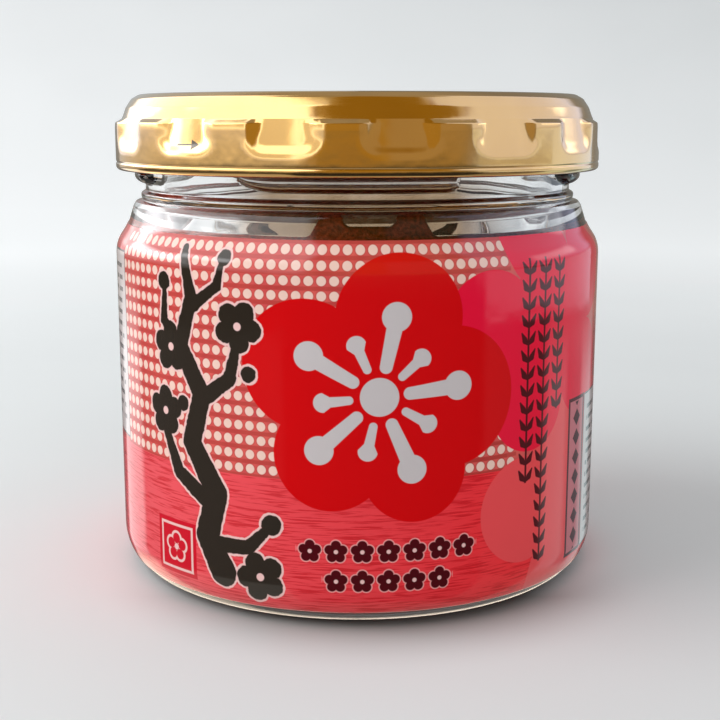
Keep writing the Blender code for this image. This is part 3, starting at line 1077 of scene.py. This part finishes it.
def printed(design, place):
    """The label's colours, from its ground up."""
    mottle = ramp(cloud(place, LABEL_MOTTLE, detail=4.0), *CLEAR_PATCHES)
    sheet = Print(layered(mottle, INKS["coral"], INKS["coral deep"]))
    lay_grounds(sheet, design, place)
    lay_blossoms(sheet, design)
    lay_panels(sheet, design)
    lay_ornaments(sheet, design)
    lay_twig(sheet, design, place)
    lay_seal(sheet, design)
    return sheet.colour


def make_label():
    """The wrap label: a thin skin glued to the glass from its cone to its heel."""
    outside = between(body_section(0.0), LABEL_FOOT_Z, LABEL_TOP_Z)
    inside = between(body_section(FILM + SUNK), LABEL_FOOT_Z, LABEL_TOP_Z)
    section = [*outside, *reversed(inside)]
    mesh = revolve("wrap_label", section, LABEL_COLUMNS, film_shape, closed=True)
    new_piece("wrap_label", mesh, label_material(), "label")


def studio_material():
    """Matt pale surface with a faint mottle, a painted shadow before the jar's foot, and brighter far
    away.
    """
    material, shader, place = new_material("studio_surface", 0.7)
    x, y, z = place.parts()
    mottle = ramp(cloud(place, FLOOR_MOTTLE, detail=3.0), *SOFT_PATCHES)
    pale = layered(mottle, FLOOR_PALE, FLOOR_PALEST)
    level = vector_of(x, y)
    # Painted contact shadow: darkest round a point just before the jar's foot, and only on the floor in
    # front of it
    near = ramp(level.vector("DISTANCE", SHADE_CENTRE), SHADE_REACH[1], SHADE_REACH[0])
    near = near * ramp(y, *SHADE_FRONT)
    fill((shader.inputs["Base Color"],), layered(near * near, pale, SHADE_COLOUR))
    shader.inputs["Specular IOR Level"].default_value = 0.1
    far = ramp(level.vector("LENGTH"), GLOW_START, GLOW_END)
    glow = far * (x * GLOW_ACROSS + z * GLOW_UP + BACKDROP_GLOW)
    shader.inputs["Emission Color"].default_value = GLOW_COLOUR
    fill((shader.inputs["Emission Strength"],), glow)
    return material


def make_studio():
    """A plain floor round the jar and a far floor that curves up into a wall all round."""
    material = studio_material()
    curve = arc((FAR_FLOOR, CURVE), (CURVE, CURVE), -90.0, 0.0, CURVE_STEPS)
    near = [(0.0, 0.0), (NEAR_FLOOR, 0.0)]
    far = [(NEAR_FLOOR, 0.0), *curve, (FAR_FLOOR + CURVE, WALL_TOP)]
    floor = bpy.data.objects.new("floor", revolve("floor", near, STUDIO_COLUMNS))
    wall = bpy.data.objects.new("backdrop", revolve("backdrop", far, STUDIO_COLUMNS))
    wall.visible_diffuse = False
    wall.visible_shadow = False
    for surface in (floor, wall):
        surface.visible_glossy = False
        surface.data.materials.append(material)
        bpy.context.scene.collection.objects.link(surface)


def make_world():
    """Even light for the matt surfaces, and a studio of soft lights for the glossy ones to mirror."""
    world = bpy.data.worlds.new("studio_light")
    bpy.context.scene.world = world
    world.use_nodes = True
    tree = world.node_tree
    coordinates = tree.nodes.new("ShaderNodeTexCoord")
    x, y, z = Value(coordinates.outputs["Generated"]).parts()
    turn = x.math("ARCTAN2", -y) * math.degrees(1.0)
    rise = z.math("ARCSINE") * math.degrees(1.0)
    mirrored = MIRRORED_BASE
    for turns, rises, edge, colour in MIRRORED:
        mirrored = layered(within(turn, turns, edge) * within(rise, rises, edge), mirrored, colour)
    glossy = Value(tree.nodes.new("ShaderNodeLightPath").outputs["Is Glossy Ray"])
    fill((tree.nodes["Background"].inputs["Color"],), layered(glossy, AMBIENT, mirrored))


def make_key():
    """A large soft light at the upper left, which the finishes don't mirror."""
    lamp = bpy.data.lights.new("key", "AREA")
    lamp.shape = "SQUARE"
    lamp.size = KEY_SIDE * MM
    lamp.energy = KEY_POWER
    key = bpy.data.objects.new("key", lamp)
    bpy.context.scene.collection.objects.link(key)
    key.location = Vector(KEY_PLACE) * MM
    aim = Vector(KEY_AIM) * MM - key.location
    key.rotation_euler = aim.to_track_quat("-Z", "Y").to_euler()
    key.visible_glossy = False


def make_camera():
    """The photograph's view."""
    lens = bpy.data.cameras.new("camera")
    lens.lens = CAMERA_LENS
    lens.shift_x = CAMERA_SHIFT
    lens.clip_start = CAMERA_NEAR * MM
    camera = bpy.data.objects.new("camera", lens)
    bpy.context.scene.collection.objects.link(camera)
    camera.location = Vector(CAMERA_PLACE) * MM
    camera.rotation_euler = (math.radians(90.0 - CAMERA_DOWN), 0.0, 0.0)
    bpy.context.scene.camera = camera


make_camera()
make_glass()
make_label()
make_mentaiko()
make_lid()
make_studio()
make_world()
make_key()
bpy.context.scene.view_settings.view_transform = "Standard"
